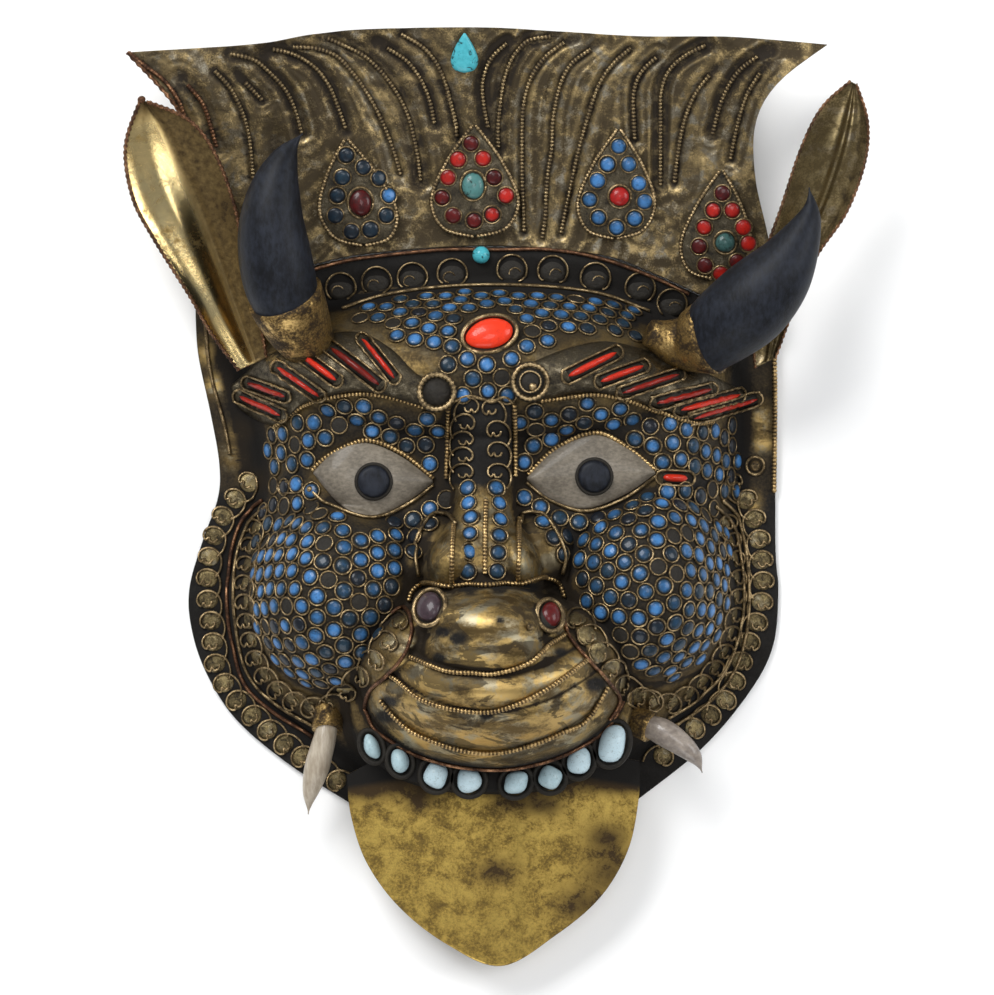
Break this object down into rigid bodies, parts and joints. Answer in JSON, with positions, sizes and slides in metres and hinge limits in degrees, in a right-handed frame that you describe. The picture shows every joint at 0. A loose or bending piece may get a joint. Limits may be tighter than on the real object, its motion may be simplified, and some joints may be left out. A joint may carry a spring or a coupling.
{
  "type": "tibetan cham mask",
  "caption": "Horned, tusked guardian dance mask in worked brass sheet, hollow behind, with a fluted crown, set stones and a hanging tongue.",
  "frame": {"origin": "centre of the bounding box in X and Y, on the plane of the mask's back", "axes": "+Y up the face from the tongue to the crown, +Z out of the face, +X towards the viewer's right"},
  "size_m": [0.296, 0.376, 0.0944],
  "materials": {
    "patinated_brass": "worked brass sheet with dark brown and black patina, rubbed bright on the high places",
    "bright_brass": "golden brass sheet with brown blotches",
    "copper_wire": "reddish wire, worn bright",
    "dark_pitch": "black pitch bed around the stones",
    "black_horn": "near-black horn, satin polish",
    "bone": "greyish bone, fine grain, matte",
    "tusk": "ivory-beige, streaked lengthways",
    "smoky_tusk": "smoky grey-brown, translucent looking",
    "pale_stone": "pale blue-white, glossy",
    "coral": "orange-red coral, polished",
    "dark_red_stone": "dark red stone, polished",
    "turquoise": "turquoise, satin",
    "blue_stone": "blue inlay stones, mottled"
  },
  "bodies": {
    "root": {"face_shell": "patinated_brass", "crown_plate": "patinated_brass", "brow_left": "patinated_brass", "brow_right": "patinated_brass", "pendant_1": "patinated_brass", "pendant_2": "patinated_brass", "pendant_3": "patinated_brass", "pendant_4": "patinated_brass", "ear_left": "bright_brass", "ear_right": "bright_brass", "tongue": "bright_brass", "horn_socket_left": "bright_brass", "horn_socket_right": "bright_brass", "tusk_socket_left": "bright_brass", "tusk_socket_right": "bright_brass", "horn_left": "black_horn", "horn_right": "black_horn", "pupil_left": "black_horn", "pupil_right": "black_horn", "eye_left": "bone", "eye_right": "bone", "tusk_left": "tusk", "tusk_right": "smoky_tusk", "tooth_1": "pale_stone", "tooth_2": "pale_stone", "tooth_3": "pale_stone", "tooth_4": "pale_stone", "tooth_5": "pale_stone", "tooth_6": "pale_stone", "tooth_7": "pale_stone", "tooth_8": "pale_stone", "forehead_coral": "coral", "nostril_stone_left": "dark_red_stone", "nostril_stone_right": "dark_red_stone", "crown_drop": "turquoise", "crown_round": "turquoise"}
  },
  "joints": []
}
